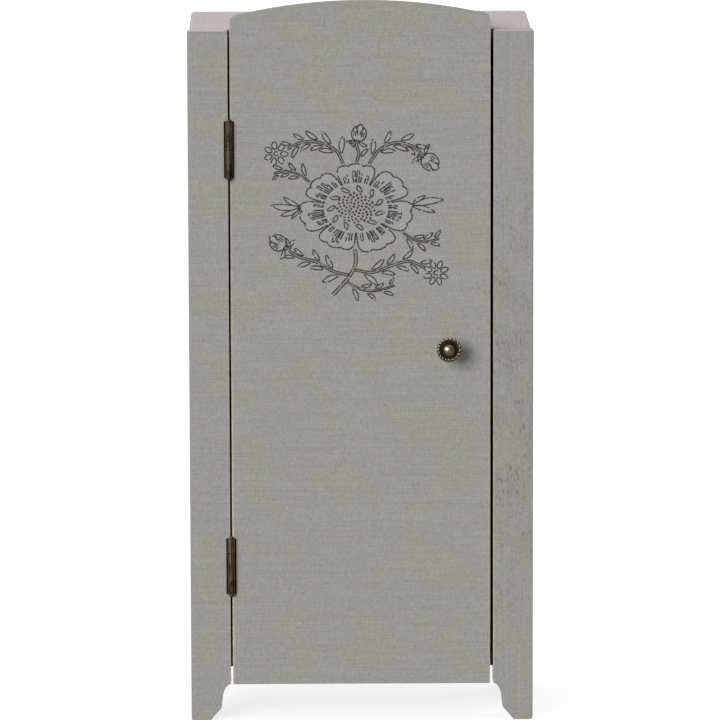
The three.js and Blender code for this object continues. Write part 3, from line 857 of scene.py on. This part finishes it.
def flower_spray():
    large_bloom()
    tip, degrees = branch([(-3.4, 12.2), (-5.4, 15.8), (-9.6, 18.0), (-14.4, 18.2), (-18.8, 16.4)], 9, 4.4)
    daisy(polar(tip, 3.3, degrees), 3.4, 7, degrees)
    tip, degrees = branch([(3.6, 12.1), (6.4, 16.0), (10.8, 18.0), (15.4, 17.0), (18.6, 14.2)], 8, 4.4, -1)
    bud(tip, degrees, 3.7)
    tip, degrees = branch([(0.1, 12.6), (0.8, 15.0), (0.2, 17.2), (0.4, 18.6)], 2, 3.0)
    bud(tip, degrees, 3.2)
    stem([(-0.3, -11.3), (-0.2, -15.6), (-2.4, -19.6), (-6.4, -24.0)], 0.8)
    lower_right = [(-0.6, -17.0), (4.4, -17.8), (9.6, -16.0), (14.4, -14.8), (18.8, -16.6)]
    tip, degrees = branch(lower_right, 8, 4.4)
    daisy(polar(tip, 3.4, degrees), 3.6, 8, degrees)
    lower_left = [(-1.8, -18.6), (-6.4, -17.4), (-11.0, -14.8), (-15.8, -13.4), (-19.6, -10.8)]
    tip, degrees = branch(lower_left, 8, 4.4, -1)
    bud(tip, degrees, 3.5)
    branch([(-2.6, -20.4), (1.6, -22.6), (6.2, -22.8), (10.6, -21.4)], 6, 3.6, width=0.45)
    branch([(-12.6, 7.2), (-15.8, 9.4), (-19.0, 10.2), (-22.6, 9.6)], 6, 3.4, width=0.45)
    branch([(12.8, -6.8), (15.8, -8.8), (19.2, -9.4), (22.8, -8.4)], 6, 3.4, width=0.45)
    fan((-14.9, 0.2), ((150, 5.2), (176, 7.8), (202, 5.6), (226, 3.6)))
    fan((14.9, 0.6), ((34, 4.4), (10, 8.6), (-16, 6.4)))


def print_mesh():
    """Every stroke as a thin closed ribbon and every patch as a thin closed plate, a hair proud of
    the paint, with the darker inks on top. Overlapping strokes get slightly different heights."""
    centre_x = (door_low.x + door_high.x) / 2 + SPRAY_X * MM
    centre_z = door_low.z + SPRAY_HEIGHT * (door_high.z - door_low.z)
    back = FRONT + 0.02 * MM
    points, faces, tones = [], [], []

    def add(x, z, lift):
        points.append((centre_x + x * MM, FRONT - lift * MM, centre_z + z * MM))
        points.append((centre_x + x * MM, back, centre_z + z * MM))

    def close(new_faces, tone):
        faces.extend(new_faces)
        tones.extend([tone] * len(new_faces))

    for number, (outline, tone) in enumerate(patches):
        base, count = len(points), len(outline)
        for x, z in outline:
            add(x, z, 0.03 if tone == DARK else 0.005 + 0.0015 * (number % 7))
        front = [base + 2 * i for i in range(count)]
        rear = [i + 1 for i in reversed(front)]
        rim = [(a, a + 1, b + 1, b) for a, b in zip(front, front[1:] + front[:1])]
        close([tuple(front), tuple(rear)] + rim, tone)
    for number, (line, width, tone) in enumerate(ribbons):
        base, count = len(points), len(line)
        edges = [offset(line, width / 2), offset(line, -width / 2)]
        lift = (0.018 if tone == MIDDLE else 0.022) + 0.002 * (number % 4)
        for i, here in enumerate(line):
            end = 0.6 if i in (0, count - 1) else 1.0 + 0.28 * chance.uniform(-1, 1)
            for edge in edges:
                add(here[0] + (edge[i][0] - here[0]) * end, here[1] + (edge[i][1] - here[1]) * end, lift)
        for i in range(count - 1):
            a, b = base + 4 * i, base + 4 * (i + 1)
            close([(a, b, b + 2, a + 2), (a + 1, a + 3, b + 3, b + 1), (a, a + 1, b + 1, b),
                   (a + 2, b + 2, b + 3, a + 3)], tone)
        last = base + 4 * (count - 1)
        close([(base, base + 2, base + 3, base + 1), (last, last + 1, last + 3, last + 2)], tone)
    piece = mesh_piece("door_print", points, faces, ink("print_dark", 1.0), "door", False)
    piece.data.materials.append(ink("print_middle", 0.3))
    piece.data.materials.append(pale_print())
    piece.data.polygons.foreach_set("material_index", tones)


flower_spray()
print_mesh()

# ---------------------------------------------------------------- floor, light and camera


def floor():
    data = bpy.data.meshes.new("floor")
    data.from_pydata([(-6, -6, 0), (6, -6, 0), (6, 6, 0), (-6, 6, 0)], [], [(0, 1, 2, 3)])
    graph = Graph("floor")
    tone = graph.noise(graph.place(), 0.004, 2.0, 0.5)
    graph.finish(graph.mix(tone, (0.26, 0.26, 0.26), (0.28, 0.28, 0.28)), 0.8)
    graph.surface.inputs["Emission Color"].default_value = (1, 1, 1, 1)
    seen = graph.node("ShaderNodeLightPath").outputs["Is Camera Ray"]
    graph.feed(graph.surface.inputs["Emission Strength"], graph.span(seen, 0.0, 1.0, 0.1, 0.8))
    data.materials.append(graph.material)
    made = bpy.data.objects.new("floor", data)
    bpy.context.scene.collection.objects.link(made)


AMBIENT = 0.25  # the studio's light from all round, which the camera sees as white


def softbox(name, direction, spread_degrees, strength, colour=(1, 1, 1), only_gloss=False):
    """A broad even light from a direction, the same over the whole floor. only_gloss lights show in
    reflections alone."""
    data = bpy.data.lights.new(name, "SUN")
    data.angle, data.energy, data.color = math.radians(spread_degrees), strength, colour
    made = bpy.data.objects.new(name, data)
    made.rotation_mode = "QUATERNION"
    made.rotation_quaternion = Vector(direction).to_track_quat("Z", "Y")
    made.visible_diffuse = not only_gloss
    bpy.context.scene.collection.objects.link(made)


def studio():
    world = bpy.data.worlds.new("studio")
    bpy.context.scene.world = world
    world.use_nodes = True
    nodes, links = world.node_tree.nodes, world.node_tree.links
    background, seen = nodes["Background"], nodes.new("ShaderNodeLightPath")
    strength = nodes.new("ShaderNodeMapRange")
    background.inputs["Color"].default_value = (1, 1, 1, 1)
    strength.inputs["To Min"].default_value, strength.inputs["To Max"].default_value = AMBIENT, 1.0
    links.new(seen.outputs["Is Camera Ray"], strength.inputs["Value"])
    links.new(strength.outputs["Result"], background.inputs["Strength"])
    softbox("key", (-0.68, -1.0, 0.44), 34, 3.2, (1.0, 0.995, 1.0))
    softbox("overhead", (-0.15, 0.1, 1.0), 60, 1.15)
    softbox("behind", (0.9, 0.8, 0.3), 50, 1.45)
    softbox("side_gloss", (-0.85, -0.3, 0.5), 36, 1.7, only_gloss=True)


def camera():
    """Just left of centre, about 1.7 m off and looking down on the front."""
    pitch, yaw, roll = 0.16675, -0.01004, -0.002565
    data = bpy.data.cameras.new("camera")
    data.sensor_width, data.lens = 36.0, 321.0
    data.clip_start, data.clip_end = 0.05, 20.0
    right = Vector((math.cos(yaw), math.sin(yaw), 0))
    level = Vector((-math.sin(yaw), math.cos(yaw), 0))
    forward = level * math.cos(pitch) - Vector((0, 0, math.sin(pitch)))
    up = level * math.sin(pitch) + Vector((0, 0, math.cos(pitch)))
    right_rolled = right * math.cos(roll) + up * math.sin(roll)
    up_rolled = up * math.cos(roll) - right * math.sin(roll)
    made = bpy.data.objects.new("camera", data)
    turn = Matrix((right_rolled, up_rolled, -forward)).transposed().to_4x4()
    made.matrix_world = Matrix.Translation((-0.01779, FRONT - 1.73789, 0.3937)) @ turn
    bpy.context.scene.collection.objects.link(made)
    bpy.context.scene.camera = made


floor()
studio()
camera()
bpy.context.scene.view_settings.view_transform = "Standard"
